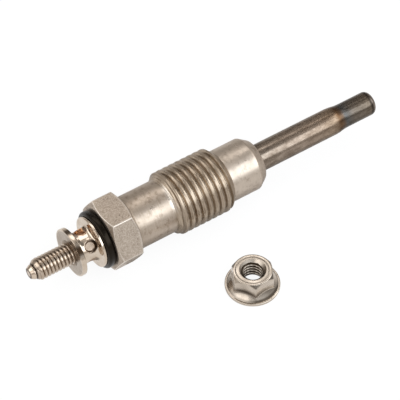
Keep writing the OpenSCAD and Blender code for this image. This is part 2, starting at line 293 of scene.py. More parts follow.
def makeNickelBody(look):
    mat, shader = startMaterial("nickelBody", Metallic=1.0)
    matte, edge = markOf(mat, "hexMatte"), markOf(mat, "edgeShine")
    root, lined = markOf(mat, "paintedShade"), markOf(mat, "lined")
    cloud, smudge = noiseAt(mat, *look["cloud"]), noiseAt(mat, *look["smudge"])
    sand, pits = noiseAt(mat, *look["sandGrain"]), noiseAt(mat, *look["pitGrain"])
    turning = noiseAt(mat, *look["turning"])
    base = mixColour(mat, spread(mat, cloud, *look["cloudDull"]), look["clean"], look["dull"])
    base = mixColour(mat, spread(mat, smudge, *look["smudgeDull"]), base, look["dull"], "MULTIPLY")
    base = mixColour(mat, byMark(mat, lined, *look["threadToneShare"]), base, look["threadTone"])
    lines = mathOf(mat, "MULTIPLY", spread(mat, turning, *look["turningDull"]),
                   byMark(mat, lined, *look["turningShare"]))
    base = mixColour(mat, lines, base, look["dull"], "MULTIPLY")
    sandy = mixColour(mat, spread(mat, sand, *look["sandMix"]), look["grit"], look["sand"])
    sandy = mixColour(mat, spread(mat, pits, *look["pitMix"]), sandy, look["pit"])
    base = mixColour(mat, matte, base, sandy)
    # painted shade in the thread roots, corners and fillet
    base = mixColour(mat, root, base, look["root"])
    # painted highlights on the worn edges, and the nose's brighter finish
    base = mixColour(mat, edge, base, look["edge"])
    join(mat, base, shader.inputs["Base Color"])
    rough = byMark(mat, matte, *look["bodyRough"])
    rough = mathOf(mat, "ADD", rough, spread(mat, cloud, *look["cloudRough"]))
    rough = mathOf(mat, "ADD", rough, spread(mat, smudge, *look["smudgeRough"]))
    rough = mathOf(mat, "ADD", rough, byMark(mat, root, *look["rootRough"]))
    rough = mathOf(mat, "ADD", rough, byMark(mat, lined, *look["threadRough"]))
    rough = byMark(mat, edge, rough, look["edgeRough"])
    join(mat, rough, shader.inputs["Roughness"])
    grain = bumpOf(mat, sand, byMark(mat, matte, *look["sandBump"]), look["sandDepth"])
    grooves = bumpOf(mat, turning, byMark(mat, lined, *look["turningBump"]), look["turningDepth"], grain)
    join(mat, grooves, shader.inputs["Normal"])
    return mat


def makePlugBody(part, material):
    angles = hexAngles(part["steps"])
    cols = len(angles)
    hexR, psi = hexRadius(angles, part["hexAcross"], part["hexCorner"])
    slope = math.radians(part["hexSlope"])
    faceR, faceEdge, edge = part["hexFaceDia"] / 2, part["faceEdge"], part["hexEdge"]
    bevel = (hexR - faceR) * math.tan(slope)
    shankR, noseR = part["shankDia"] / 2, part["noseDia"] / 2
    threadR = mounts["m12_thread"]["dims"]["r_mm"]
    hexEnd = hexStart + part["hexLength"]
    threadEnd = mounts["m12_thread"]["dims"]["length_mm"] / 2 + part["threadLead"]
    threadStart = -threadEnd
    noseEnd = seatEnd - part["seatLength"]
    seatEndR, boreR = part["seatEndDia"] / 2, part["tubeDia"] / 2 + fitGap
    seatSlope = math.atan2(noseR - seatEndR, part["seatLength"])
    tangent = part["noseRound"] * math.tan(seatSlope / 2)
    seatEdge, fillet = part["seatEdge"], part["shankFillet"]
    chamberR, chamberEnd = beadHigh[2] + fitGap, beadHigh[0] + fitGap
    wideR, wideEnd = part["tubeDia"] / 2 + part["boreGap"], 2 * tubeStart - stopperStart

    # hexagon: end face, soft edge, chamfer cone, soft edge and flat, then the same way back
    rim = faceR - faceEdge * math.tan(slope / 2)
    flatStart = hexStart + bevel + edge * math.tan((np.pi / 2 - slope) / 2)
    flatEnd = hexStart + hexEnd - flatStart
    bendA, bendB = part["hexSlope"], 180 - part["hexSlope"]
    coneIn, coneR = faceEdge * (1 - math.cos(slope)), rim + faceEdge * math.sin(slope)
    coneOut, coneTopR = edge * math.cos(slope), hexR - edge * (1 - math.sin(slope))
    face = strip(cols, hexStart, chamberR, hexStart, rim, 8)
    faceBend = arcStrip(cols, hexStart + faceEdge, rim, faceEdge, 0, bendA, 4)
    cone = strip(cols, hexStart + coneIn, coneR, flatStart - coneOut, coneTopR, 5)
    frontEdge = arcStrip(cols, flatStart, hexR - edge, edge, bendA, 90, 6)
    flats = strip(cols, flatStart, hexR, flatEnd, hexR, 14)
    backEdge = arcStrip(cols, flatEnd, hexR - edge, edge, 90, bendB, 6)
    backCone = strip(cols, flatEnd + coneOut, coneTopR, hexEnd - coneIn, coneR, 5)
    backBend = arcStrip(cols, hexEnd - faceEdge, rim, faceEdge, bendB, 180, 4)
    backFace = strip(cols, hexEnd, rim, hexEnd, shankR + fillet, 5)
    hexagon = [face, faceBend, cone, frontEdge, flats, backEdge, backCone, backBend, backFace]
    corner = arcStrip(cols, hexEnd + fillet, shankR + fillet, fillet, 0, -90, 7)
    shank = strip(cols, hexEnd + fillet, shankR, threadStart, shankR, 12)

    # thread: its cut taken from the full radius, and held under a cone at each end
    threadRows = int(part["rowsPerTurn"] * (threadEnd - threadStart) / part["threadPitch"])
    thread = strip(cols, threadStart, threadR, threadEnd, threadR, threadRows)
    cut = threadCut(thread[0] - part["threadShift"], angles, part["threadPitch"], part["threadDepth"],
                    part["threadCrest"], part["threadSoft"])
    rise = shankR + (thread[0] - threadStart) / part["threadLead"] * (threadR - shankR)
    fall = noseR + (threadEnd - thread[0]) / part["threadLead"] * (threadR - noseR)
    lead = np.minimum(rise, fall)
    # the cut begins on the cones, which also carry fine turned rings: a cosine wave that fades at both ends
    climbed = (lead - shankR) / (threadR - shankR)
    begun = part["coneCut"] * np.clip(climbed * part["coneCutRise"] - 1, 0, 1)
    fromEnd = np.minimum(thread[0] - threadStart, threadEnd - thread[0])
    rings = part["leadRingDepth"] * (1 - np.cos(2 * np.pi * fromEnd / part["leadRing"])) / 2
    faded = fromEnd / part["ringFade"]
    rings *= np.clip(faded - 1, 0, 1) * np.clip(part["ringReach"] - faded, 0, 1)
    # fine lines along the crest: a cosine wave several times to a pitch, gone halfway down the flank
    helix = (thread[0] - part["threadShift"]) / part["threadPitch"] - angles / (2 * np.pi)
    onCrest = np.clip(part["crestFade"] * (0.5 - cut / part["threadDepth"]), 0, 1)
    fine = (1 - np.cos(2 * np.pi * part["crestLines"] * helix)) / 2 * onCrest
    thread[1] = np.minimum(threadR - cut, lead - begun * cut) - rings - part["crestLineDepth"] * fine

    # nose, rounded shoulder, seat cone, rounded end and the bore back to the hexagon
    nose = strip(cols, threadEnd, noseR, noseEnd - tangent, noseR, 8)
    turned = 90 + math.degrees(seatSlope)
    shoulder = arcStrip(cols, noseEnd - tangent, noseR - part["noseRound"], part["noseRound"], 90, turned, 6)
    lipR = seatEndR + seatEdge * (math.tan(seatSlope) - 1 / math.cos(seatSlope))
    seat = strip(cols, noseEnd + tangent * math.cos(seatSlope), noseR - tangent * math.sin(seatSlope),
                 seatEnd - seatEdge * (1 - math.sin(seatSlope)), lipR + seatEdge * math.cos(seatSlope), 6)
    lip = arcStrip(cols, seatEnd - seatEdge, lipR, seatEdge, turned, 180, 5)
    inside = [strip(cols, seatEnd, lipR, seatEnd, boreR, 3), strip(cols, seatEnd, boreR, wideEnd, boreR, 6),
              strip(cols, wideEnd, boreR, wideEnd, wideR, 1),
              strip(cols, wideEnd, wideR, chamberEnd, wideR, 6),
              strip(cols, chamberEnd, wideR, chamberEnd, chamberR, 1),
              strip(cols, chamberEnd, chamberR, hexStart, chamberR, 3)]
    grid = np.concatenate(hexagon + [corner, shank, thread, nose, shoulder, seat, lip] + inside, axis=1)

    # marks for the material: matte hexagon, painted highlights on worn edges, painted shade in the thread
    # roots, corners and fillet, fine lines on the thread
    hexMatte, edgeShine, paintedShade, lined = np.zeros((4,) + grid.shape[1:])
    bendFirst, edgeFirst = rowsOf(face), rowsOf(face, faceBend, cone)
    flatFirst = edgeFirst + rowsOf(frontEdge)
    backFirst = flatFirst + rowsOf(flats)
    cornerFirst = rowsOf(*hexagon)
    shankFirst = cornerFirst + rowsOf(corner)
    threadFirst = shankFirst + rowsOf(shank)
    noseFirst = threadFirst + threadRows
    hexMatte[:cornerFirst] = 1
    # painted highlights on the worn front edge of the hexagon, left out where it is unlit, on its ridges and
    # back edge, and on the lead cone's lit side; the nose gets a brighter finish all round
    edgeShine[edgeFirst:flatFirst] = part["edgeHighlight"] * (1 - patch(angles, *part["edgeUnlit"]))
    edgeShine[flatFirst:backFirst] = part["ridgeHighlight"] * bell(hexR * np.abs(np.sin(psi)), part["ridgeWide"])
    edgeShine[backFirst:backFirst + rowsOf(backEdge)] = part["backHighlight"]
    edgeShine[threadFirst:threadFirst + part["leadRows"]] = patch(angles, *part["leadHighlight"])
    edgeShine[noseFirst:noseFirst + rowsOf(nose) + 1] = part["noseBright"]
    # painted shade: a patch on the chamfer cone below one corner, the fillet, the shank by the hexagon, and
    # the thread's roots, lead rings and crest lines
    paintedShade[bendFirst:edgeFirst] = patch(angles, *part["coneShade"])
    paintedShade[cornerFirst:shankFirst] = part["filletShade"]
    fromHex = shank[0] - shank[0, 0]
    paintedShade[shankFirst:threadFirst] = part["shankShade"] * np.exp(-fromHex / part["shankShadeLength"])
    sunk = np.clip((np.minimum(threadR, lead) - thread[1] - rings) / part["threadDepth"], 0, 1)
    paintedShade[threadFirst:noseFirst] = (part["rootShade"] * sunk ** part["rootPower"]
                                         + part["ringShade"] * rings / part["leadRingDepth"]
                                         + part["crestLineShade"] * fine)
    lined[threadFirst:noseFirst] = 1
    marks = {"hexMatte": hexMatte, "edgeShine": edgeShine, "paintedShade": paintedShade, "lined": lined}
    makePiece("plugBody", turnAboutX(grid, angles), True, material, "plug_shell", marks)


makePlugBody(plugBody, makeNickelBody(nickelBody))


# plating of the stud, the round nut and the flanged nut: clean and dull in clouds, dark brown where marked
# with painted shade and darker tone

def makePlating(name, look):
    mat, shader = startMaterial(name, Metallic=1.0)
    shadeAndTone = markOf(mat, "shadeAndTone")
    cloud = noiseAt(mat, *look["cloud"])
    base = mixColour(mat, spread(mat, cloud, *look["cloudDull"]), look["clean"], look["dull"])
    if "stain" in look:
        base = mixColour(mat, markOf(mat, "stain"), base, look["stain"])
    base = mixColour(mat, shadeAndTone, base, look["shadeAndTone"])
    join(mat, base, shader.inputs["Base Color"])
    rough = mathOf(mat, "ADD", byMark(mat, shadeAndTone, *look["rough"]), spread(mat, cloud, *look["cloudRough"]))
    join(mat, rough, shader.inputs["Roughness"])
    grain = noiseAt(mat, *look["grain"])
    join(mat, bumpOf(mat, grain, look["grainBump"], look["grainDepth"]), shader.inputs["Normal"])
    return mat


# terminal stud and pole

terminalStud = {
    "dia": 4.0, "pitch": 0.7, "depth": 0.3, "crest": 0.36, "soft": 0.12, "lead": 1.8,
    "endDia": 2.0, "endRound": 0.1, "endTurn": 60, "waist": 0.2, "waistAt": 0.95, "waistWide": 0.14,
    "coneCut": 0.4, "coneCutFrom": 0.3, "poleDia": 3.5, "poleEndDia": 2.4, "pinDia": 1.52,
    "steps": 96, "rowsPerTurn": 14,
    # marks: painted shade on the end's edge, in the roots and in the waist, a darker tone on the thread; the
    # thread's marks start just before the waist
    "warm": 0.09, "endShade": 0.75, "threadDark": 0.18, "rootShade": 0.6, "rootPower": 4, "waistShade": 0.85,
    "darkBefore": 0.15, "darkRise": 0.1, "shades": ((121, 8, 0.4), (80, 9, 0.4)),
}

brightNickel = {
    "clean": (0.62, 0.525, 0.43, 1), "dull": (0.41, 0.32, 0.235, 1), "shadeAndTone": (0.035, 0.021, 0.012, 1),
    "stain": (0.33, 0.125, 0.026, 1), "cloud": ((500, 600, 600), 3.0, 0.6),
    "cloudDull": (0.35, 0.75, 0.0, 0.6), "cloudRough": (0.3, 0.7, -0.04, 0.08), "rough": (0.13, 0.5),
    "grain": ((7000, 120, 120), 2.0, 0.5), "grainBump": 0.3, "grainDepth": 0.004,
}


def makeTerminalStud(part, material):
    cols = part["steps"]
    angles = evenAngles(cols)
    studR, endR, poleR = part["dia"] / 2, part["endDia"] / 2, part["poleDia"] / 2
    poleEndR, pinR = part["poleEndDia"] / 2, part["pinDia"] / 2
    pinStart, endRound = coilStart - fitGap, part["endRound"]
    tip = strip(cols, studTip, fanR, studTip, endR - endRound, 3)
    edge = arcStrip(cols, studTip + endRound, endR - endRound, endRound, 0, part["endTurn"], 5)

    # thread: the cut taken from the full radius, held under the cone of the lead and run out at the flange
    threadRows = int(part["rowsPerTurn"] * (flangeStart - studTip) / part["pitch"])
    start = studTip + endRound * (1 - math.cos(math.radians(part["endTurn"])))
    thread = strip(cols, start, studR, flangeStart, studR, threadRows)
    cut = threadCut(thread[0], angles, part["pitch"], part["depth"], part["crest"], part["soft"])
    pastWaist = thread[0] - studTip - part["waistAt"]
    waist = bell(pastWaist, part["waistWide"])
    onLead = (thread[0] - studTip) / part["lead"]
    cone = endR + onLead * (studR - endR) - part["waist"] * waist
    begun = part["coneCut"] * np.clip(onLead - part["coneCutFrom"], 0, 1)      # it shows on the cone too
    thread[1] = np.minimum(studR - cut, cone - begun * cut)
    pole = [strip(cols, flangeStart, poleR, stopperStart, poleR, 8),
            strip(cols, stopperStart, poleR, stopperStart, poleEndR, 1),
            strip(cols, stopperStart, poleEndR, pinStart, poleEndR, 4),
            strip(cols, pinStart, poleEndR, pinStart, pinR, 1),
            strip(cols, pinStart, pinR, pinEnd, pinR, 3),
            strip(cols, pinEnd, pinR, pinEnd, fanR, 2)]
    grid = np.concatenate([tip, edge, thread] + pole, axis=1)
    roots = np.clip((studR - cut < cone) * cut / part["depth"], 0, 1) ** part["rootPower"]
    dark = part["threadDark"] + part["rootShade"] * roots
    dark *= np.clip((pastWaist + part["darkBefore"]) / part["darkRise"], 0, 1)
    dark += part["waistShade"] * waist
    # these duller stretches are painted shade: two bands along the thread, each at one angle round the stud
    for place in part["shades"]:      # duller stretches along the thread
        dark += patch(angles, *place)
    shadeAndTone = np.zeros(grid.shape[1:])
    threadFirst = rowsOf(tip, edge)
    shadeAndTone[rowsOf(tip) - 1:threadFirst] = part["endShade"]
    shadeAndTone[threadFirst:threadFirst + threadRows] = np.clip(dark, 0, 1)
    marks = {"shadeAndTone": shadeAndTone, "stain": np.full(shadeAndTone.shape, part["warm"])}
    points = turnAboutX(grid, angles)
    makePiece("terminalStud", points, False, material, "centre_pole", marks)


nickelShine = makePlating("brightNickel", brightNickel)
makeTerminalStud(terminalStud, nickelShine)


# round nut, a spool whose neck is punched with flat-bottomed crimps

crimpedNut = {
    "flangeDia": 9.0, "flangeThick": 0.9, "neckDia": 5.9, "baseDia": 9.5, "baseThick": 0.55, "rim": 0.15,
    "baseFillet": 0.8, "flangeFillet": 0.6, "mouthDia": 5.0, "holeDia": 3.54, "steps": 300,
    "crimps": 5, "crimpTurn": 47, "crimpPlace": 0.62, "crimpBottom": 1.7, "crimpMouth": 2.2,
    "crimpDepth": 0.5, "crimpRise": 4, "crimpRows": (4, 14), "lip": 0.14, "lipWide": 0.22,
    "sideCos": 0.5, "nearest": 0.2,
    # marks of each crimp: darker floor, painted shade on the wall, stain, and how softly they end
    "floors": (0.52, 0.15, 0.5, 0.5, 0.5), "walls": (1, 0.4, 0.6, 0.6, 0.5),
    "stains": (0.15, 0.85, 0.3, 0.3, 0.3), "stainPast": 0.12, "stainEnd": 0.8, "stainSoft": 0.06,
    "wallShade": 0.55, "wallAside": 0.7, "wallBelow": 0.2, "wallClear": 0.6,
    "floorSoft": 0.08, "shadeReach": 1.3, "shadeSoft": 0.15,
    # painted shade on the contact flange's rim and beside the neck: place, half width and strength
    "rimShade": ((131, 17, 1.0), (77, 10, 0.9), (290, 30, 0.5)),
    "neckShade": ((48, 26, 0.95), (105, 10, 0.75)), "neckShadeRows": (10, 8),
    "faceDull": 0.38, "holeShade": 1, "mouthShade": 0.4,
}


def makeCrimpedNut(part, material):
    cols = part["steps"]
    angles = evenAngles(cols)
    flangeR, neckR, baseR, rim = part["flangeDia"] / 2, part["neckDia"] / 2, part["baseDia"] / 2, part["rim"]
    mouthR, holeR = part["mouthDia"] / 2, part["holeDia"] / 2
    flangeEnd, baseStart = flangeStart + part["flangeThick"], ringStart - part["baseThick"]
    smallFillet, fillet = part["flangeFillet"], part["baseFillet"]
    mouthEnd = flangeStart + mouthR - holeR
    face = strip(cols, flangeStart, mouthR, flangeStart, flangeR - rim, 6)
    rimSide = [arcStrip(cols, flangeStart + rim, flangeR - rim, rim, 0, 90, 5),
               strip(cols, flangeStart + rim, flangeR, flangeEnd - rim, flangeR, 3),
               arcStrip(cols, flangeEnd - rim, flangeR - rim, rim, 90, 180, 5)]
    back = [strip(cols, flangeEnd, flangeR - rim, flangeEnd, neckR + smallFillet, 5),
            arcStrip(cols, flangeEnd + smallFillet, neckR + smallFillet, smallFillet, 0, -90, 8)]
    middle = strip(cols, flangeEnd + smallFillet, neckR, baseStart - fillet, neckR, 44)
    base = [arcStrip(cols, baseStart - fillet, neckR + fillet, fillet, -90, -180, 18),
            strip(cols, baseStart, neckR + fillet, baseStart, baseR - rim, 4),
            arcStrip(cols, baseStart + rim, baseR - rim, rim, 0, 90, 5),
            strip(cols, baseStart + rim, baseR, ringStart - rim, baseR, 2),
            arcStrip(cols, ringStart - rim, baseR - rim, rim, 90, 180, 5),
            strip(cols, ringStart, baseR - rim, ringStart, holeR, 4)]
    hole = strip(cols, ringStart, holeR, mouthEnd, holeR, 4)
    mouth = strip(cols, mouthEnd, holeR, flangeStart, mouthR, 4)
    grid = np.concatenate([face] + rimSide + back + [middle] + base + [hole, mouth], axis=1)

    # each crimp is a flat-bottomed cone pressed in along the radius: a point at a distance d from its axis
    # goes no further out than the bottom within the bottom's radius, and beyond it no further than the wall,
    # which slopes up to the mouth; the metal raised beside the mouth is a bell round the mouth's radius
    neckFirst = rowsOf(face, *rimSide, *back)
    before, past = part["crimpRows"]
    neckRows = slice(neckFirst - before, neckFirst + rowsOf(middle) + past)
    neck = grid[:, neckRows]
    x, r = neck[0], neck[1].copy()
    crimpAt = flangeEnd + part["crimpPlace"] * (baseStart - flangeEnd)
    bottomR, mouthAtR = part["crimpBottom"] / 2, part["crimpMouth"] / 2
    wall, stained = np.zeros_like(r), np.zeros_like(r)
    for k in range(part["crimps"]):
        off = angles - np.radians(90 + part["crimpTurn"] - 360 / part["crimps"] * k)
        d = np.hypot(x - crimpAt, r * np.sin(off))
        up = np.clip((d - bottomR) / (mouthAtR - bottomR), 0, part["crimpRise"])
        reach = neckR - part["crimpDepth"] * (1 - up)
        facing = np.cos(off) > part["sideCos"]
        held = np.where(facing, np.minimum(r, reach / np.maximum(np.cos(off), part["sideCos"])), r)
        away = np.maximum(d, part["nearest"])
        aside, below = (x - crimpAt) / away, r * np.sin(off) / away
        within = part["stains"][k] / (1 + np.exp((d - mouthAtR - part["stainPast"]) / part["stainSoft"]))
        within = within / (1 + np.exp((x - crimpAt - part["stainEnd"]) / part["stainSoft"]))
        # painted shade on the pocket's wall, darkest on its +X side, lighter where stained, ending past the
        # mouth
        shade = np.clip(part["wallShade"] + part["wallAside"] * aside + part["wallBelow"] * below, 0, 1)
        shade *= (1 - part["wallClear"] * within**2) * part["walls"][k]
        shade *= np.clip((d - bottomR) / part["floorSoft"], 0, 1)
        shade *= np.clip((part["shadeReach"] - d) / part["shadeSoft"], 0, 1)
        wall = np.maximum(wall, np.where(facing, np.where(d < bottomR, part["floors"][k], shade), 0))
        stained = np.maximum(stained, np.where(facing, within, 0))
        lip = part["lip"] * (0.5 + 0.5 * aside) * bell(d - mouthAtR, part["lipWide"])
        r = held + np.where(facing & (d > mouthAtR), lip, 0)
    neck[1] = r
    shadeAndTone, stain = np.zeros((2,) + grid.shape[1:])
    shadeAndTone[neckRows], stain[neckRows] = wall, stained
    shadeAndTone[:rowsOf(face)] = part["faceDull"]
    # painted shade in the hole and, lighter, in its mouth by the stud
    shadeAndTone[-rowsOf(hole, mouth):] = part["holeShade"]
    shadeAndTone[-rowsOf(mouth):] = part["mouthShade"]
    before, past = part["neckShadeRows"]
    paintedShading = {"rimShade": slice(rowsOf(face) + 1, rowsOf(face, *rimSide)),
             "neckShade": slice(neckFirst - before, neckFirst + past)}
    for key, stretch in paintedShading.items():
        for place in part[key]:
            shadeAndTone[stretch] = np.maximum(shadeAndTone[stretch], patch(angles, *place))
    marks = {"shadeAndTone": shadeAndTone, "stain": stain}
    makePiece("crimpedNut", turnAboutX(grid, angles), True, material, "round_nut", marks)


makeCrimpedNut(crimpedNut, nickelShine)


# black ring between round nut and hexagon

sealRing = {"dia": 10.8, "round": 0.55, "spigot": 0.8, "holeDia": 4.04, "steps": 160}

blackRubber = {
    "dark": (0.0008, 0.0008, 0.0008, 1), "dusty": (0.0038, 0.0031, 0.0023, 1),
    "rough": 0.24, "shine": 0.18, "shineTint": (1, 0.79, 0.58, 1),
    "cloud": ((700, 900, 900), 2.0, 0.5), "grain": ((9000, 9000, 9000), 3.0, 0.6),
    "grainBump": 0.4, "grainDepth": 0.01,
}


def makeBlackRubber(look):
    sockets = {"Roughness": look["rough"], "Specular IOR Level": look["shine"],
               "Specular Tint": look["shineTint"]}
    mat, shader = startMaterial("blackRubber", **sockets)
    cloud, grain = noiseAt(mat, *look["cloud"]), noiseAt(mat, *look["grain"])
    join(mat, mixColour(mat, cloud, look["dark"], look["dusty"]), shader.inputs["Base Color"])
    join(mat, bumpOf(mat, grain, look["grainBump"], look["grainDepth"]), shader.inputs["Normal"])
    return mat


def makeSealRing(part, material):
    cols = part["steps"]
    angles = evenAngles(cols)
    outR, holeR, spigotR, bend = part["dia"] / 2, part["holeDia"] / 2, beadHigh[2], part["round"]
    spigotEnd = hexStart + part["spigot"]
    grid = np.concatenate([
        strip(cols, ringStart, holeR, ringStart, outR - bend, 8),
        arcStrip(cols, ringStart + bend, outR - bend, bend, 0, 90, 10),
        strip(cols, ringStart + bend, outR, hexStart - bend, outR, 4),
        arcStrip(cols, hexStart - bend, outR - bend, bend, 90, 180, 10),
        strip(cols, hexStart, outR - bend, hexStart, spigotR, 3),
        strip(cols, hexStart, spigotR, spigotEnd, spigotR, 3),
        strip(cols, spigotEnd, spigotR, spigotEnd, holeR, 3),
        strip(cols, spigotEnd, holeR, ringStart, holeR, 4)], axis=1)
    makePiece("sealRing", turnAboutX(grid, angles), True, material, "seal_ring", {})


rubber = makeBlackRubber(blackRubber)
makeSealRing(sealRing, rubber)


# glow tube: a hollow sheath, swaged to a closed tip

glowSheath = {
    "dia": 5.05, "wall": 0.55, "swage": 1.7, "tipDia": 4.5, "tipLength": 6.9, "tipRound": 1.1, "tipEnd": 0.8,
    # sootAndShade here is the stretch round the tube, on its upper far side, darkened by painted shade
    "insideRound": 0.55, "stepSoft": 0.35, "sootAndShade": (52, 22, 1.0), "steps": 128,
}

# heat tint along the tube: share of the length outside the shell, then the colour
tintedSteel = {
    "tint": [(0.0, (0.282, 0.231, 0.186, 1)), (0.3, (0.304, 0.241, 0.192, 1)),
             (0.52, (0.306, 0.236, 0.18, 1)), (0.645, (0.299, 0.22, 0.155, 1)),
             (0.68, (0.13, 0.075, 0.04, 1)), (0.71, (0.115, 0.078, 0.054, 1)),
             (0.735, (0.103, 0.102, 0.099, 1)), (0.8, (0.145, 0.122, 0.1, 1)),
             (0.942, (0.16, 0.128, 0.097, 1)), (0.953, (0.05, 0.04, 0.032, 1)),
             (0.962, (0.06, 0.05, 0.04, 1)), (0.972, (0.25, 0.205, 0.175, 1)), (1.0, (0.2, 0.165, 0.14, 1))],
    # sootAndShade: colour of the soot mottling and of the painted shade on the upper far side
    "sootAndShade": (0.42, 0.38, 0.34, 1), "farShadeShare": (0.0, 0.4),
    "mottle": ((480, 1200, 1200), 3.0, 0.6), "speck": ((2160, 3600, 3600), 2.0, 0.6),
    "mottleSoot": (0.38, 0.66, 0.0, 0.7), "speckSoot": (0.45, 0.68, 0.0, 0.35),
    "wander": (0.3, 0.7, -0.005, 0.005), "rough": 0.245, "mottleRough": (0.3, 0.7, -0.06, 0.07),
    "speckBump": 0.35, "speckDepth": 0.008,
}


def makeTintedSteel(look):
    mat, shader = startMaterial("tintedSteel", Metallic=1.0)
    along = addNode(mat, "ShaderNodeSeparateXYZ", {"Vector": objectCoords(mat)}).outputs["X"]
    mottle, speck = noiseAt(mat, *look["mottle"]), noiseAt(mat, *look["speck"])
    share = spread(mat, along, seatEnd * mm, tubeTip * mm, 0, 1)
    share = mathOf(mat, "ADD", share, spread(mat, mottle, *look["wander"]))
    ramp = addNode(mat, "ShaderNodeValToRGB", {"Fac": share})
    stops = ramp.color_ramp.elements
    stops[0].position, stops[0].color = look["tint"][0]
    stops[1].position, stops[1].color = look["tint"][-1]
    for place, colour in look["tint"][1:-1]:
        stops.new(place).color = colour
    base = ramp.outputs[0]
    for fac in (spread(mat, mottle, *look["mottleSoot"]), spread(mat, speck, *look["speckSoot"]),
                byMark(mat, markOf(mat, "farSideShade"), *look["farShadeShare"])):
        base = mixColour(mat, fac, base, look["sootAndShade"], "MULTIPLY")
    join(mat, base, shader.inputs["Base Color"])
    rough = mathOf(mat, "ADD", spread(mat, mottle, *look["mottleRough"]), look["rough"])
    join(mat, rough, shader.inputs["Roughness"])
    join(mat, bumpOf(mat, speck, look["speckBump"], look["speckDepth"]), shader.inputs["Normal"])
    return mat


def makeGlowSheath(part, material):
    cols = part["steps"]
    angles = evenAngles(cols)
    outR, tipR, wall, soft = part["dia"] / 2, part["tipDia"] / 2, part["wall"], part["stepSoft"]
    stepEnd = tubeTip - part["tipLength"]
    stepStart = stepEnd - part["swage"]
    inEnd, inRound, tipRound = tubeTip - part["tipEnd"], part["insideRound"], part["tipRound"]
    inR, inTipR = outR - wall, tipR - wall
    fall = (outR - tipR) / part["swage"] * soft
    grid = np.concatenate([
        strip(cols, inEnd, fanR, inEnd, inTipR - inRound, 2),
        arcStrip(cols, inEnd - inRound, inTipR - inRound, inRound, 180, 90, 6),
        strip(cols, inEnd - inRound, inTipR, stepEnd, inTipR, 4),
        strip(cols, stepEnd, inTipR, stepStart, inR, 2),
        strip(cols, stepStart, inR, tubeStart, inR, 8),
        strip(cols, tubeStart, inR, tubeStart, outR, 2),
        strip(cols, tubeStart, outR, stepStart - soft, outR, 24),
        strip(cols, stepStart - soft, outR, stepStart + soft, outR - fall, 3),
        strip(cols, stepStart + soft, outR - fall, stepEnd - soft, tipR + fall, 4),
        strip(cols, stepEnd - soft, tipR + fall, stepEnd + soft, tipR, 3),
        strip(cols, stepEnd + soft, tipR, tubeTip - tipRound, tipR, 12),
        arcStrip(cols, tubeTip - tipRound, tipR - tipRound, tipRound, 90, 180, 12),
        strip(cols, tubeTip, tipR - tipRound, tubeTip, fanR, 4)], axis=1)
    # painted shade on the tube's upper far side
    marks = {"farSideShade": patch(angles, *part["sootAndShade"]) + np.zeros(grid.shape[1:])}
    points = turnAboutX(grid, angles)
    makePiece("glowSheath", points, False, material, "glow_tube", marks)


makeGlowSheath(glowSheath, makeTintedSteel(tintedSteel))


# flanged nut that lies beside the plug

flangedNut = {
    "across": 6.9, "corner": 0.25, "height": 4.2, "flangeDia": 9.7, "rim": 0.6, "rimRound": 0.15,
    "ledge": 0.35, "skirt": 1.65, "boreDia": 3.3, "sinkDia": 4.7, "crownDia": 6.8, "crownSlope": 55,
    "crownSoft": 0.03, "crownRound": 0.25, "crownDrop": 0.1, "crownRows": 8, "footSoft": 0.05,
    "grooveDia": 5.8, "grooveDepth": 0.03, "grooveWide": 0.14, "turn": 4,
    "pitch": 0.7, "depth": 0.36, "crest": 0.12, "soft": 0.15, "steps": 180, "rowsPerTurn": 14,
    # marks: painted shade in the bore and its roots, the countersink, the foot of the hexagon, the ledge
    # line, one side of the flange, the chamfers and the groove
    "crestShade": 0.3, "rootShade": 0.7, "rootRise": 4, "rootFrom": 0.4, "sinkShade": 0.6, "sinkOver": 0.01,
    "footShadeBase": 0.2, "footAt": 0.4, "footWide": 0.6, "lineShade": 0.4, "lineAt": 0.1, "lineWide": 0.18,
    "sideShadeDark": 0.77, "sideShadeAt": 276, "sideShadeWide": 40, "sideShadeSoft": 8, "sideShadeEdge": 0.1,
    "chamferShade": 0.8, "chamferFrom": 0.8, "chamferSoft": 0.08, "grooveShade": 0.25, "darkest": 0.94,
    # patches: place, half width and strength
    "sinkBright": (22, 28, 0.36), "footShade": (210, 32, 0.7), "brightCorner": (180, 25, 1.0),
    "rimSideShade": (150, 45, 0.22),
}

nutPlating = {
    "clean": (0.555, 0.482, 0.408, 1), "dull": (0.355, 0.297, 0.235, 1), "shadeAndTone": (0.03, 0.02, 0.012, 1),
    "cloud": ((420, 420, 420), 3.0, 0.6), "cloudDull": (0.35, 0.75, 0.0, 0.6),
    "cloudRough": (0.3, 0.7, -0.05, 0.09), "rough": (0.2, 0.42),
    "grain": ((1500, 1500, 1500), 2.0, 0.5), "grainBump": 0.07, "grainDepth": 0.02,
}


